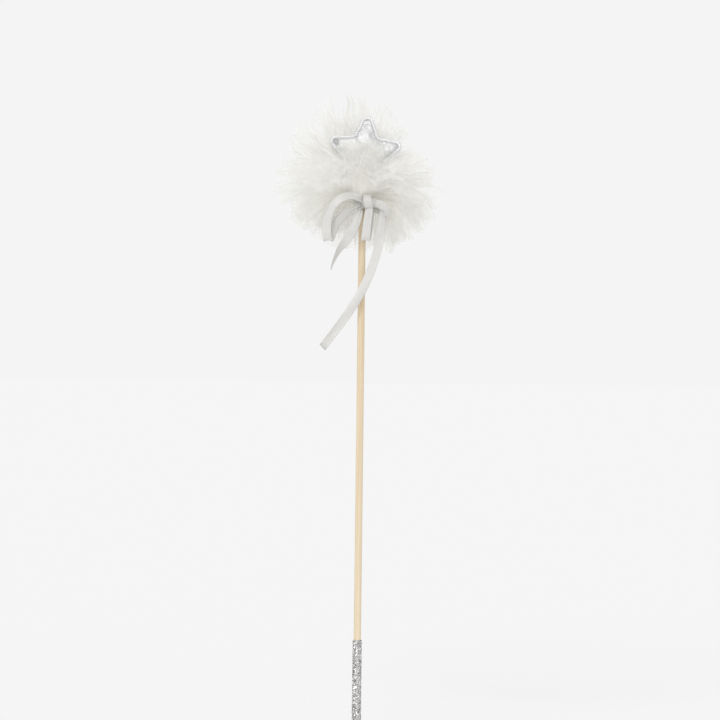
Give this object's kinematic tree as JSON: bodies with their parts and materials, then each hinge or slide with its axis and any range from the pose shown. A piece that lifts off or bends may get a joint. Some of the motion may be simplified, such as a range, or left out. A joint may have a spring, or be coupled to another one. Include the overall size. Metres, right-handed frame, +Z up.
{
  "type": "fairy wand",
  "caption": "Toy fairy wand: wooden stick with a glitter-wrapped grip, a padded star in a gathered tulle puff, and a tied satin bow with two hanging tails.",
  "frame": {"origin": "on the stick's axis, half way along the glitter grip", "axes": "+Z up the stick towards the star, +X to the wand's right, -Y the front, where the bow is"},
  "size_m": [0.1162, 0.1138, 0.4504],
  "materials": {
    "birch": "matte",
    "glitter_tape": "satin",
    "silver_foil": "gloss",
    "filling": "matte",
    "glue": "satin",
    "silver_piping": "gloss",
    "tulle": "matte",
    "thread": "matte",
    "satin": "satin"
  },
  "bodies": {
    "wand": {"stick": "birch", "grip_wrap": "glitter_tape", "star_front_cover": "silver_foil", "star_back_cover": "silver_foil", "star_padding": "filling", "star_glue": "glue", "star_piping": "silver_piping", "tulle_back_1": "tulle", "tulle_back_2": "tulle", "tulle_back_3": "tulle", "tulle_back_4": "tulle", "tulle_back_5": "tulle", "tulle_front_1": "tulle", "tulle_front_2": "tulle", "tulle_front_3": "tulle", "tulle_low_1": "tulle", "tulle_low_2": "tulle", "tulle_low_3": "tulle", "tulle_low_4": "tulle", "tulle_thread": "thread", "ribbon_band": "satin", "ribbon_knot": "satin", "ribbon_loop_left": "satin", "ribbon_loop_right": "satin", "ribbon_loop_front": "satin"},
    "tail_long": {"ribbon_tail_long": "satin"},
    "tail_short": {"ribbon_tail_short": "satin"}
  },
  "joints": [
    {"name": "tail_long_swing", "type": "hinge", "parent": "wand", "child": "tail_long", "pos_m": [0.0133, -0.0124, 0.3305], "axis": [-1, 0, 0], "range_deg": [0, 75]},
    {"name": "tail_short_swing", "type": "hinge", "parent": "wand", "child": "tail_short", "pos_m": [-0.0015, -0.0124, 0.3305], "axis": [-1, 0, 0], "range_deg": [0, 75]}
  ]
}
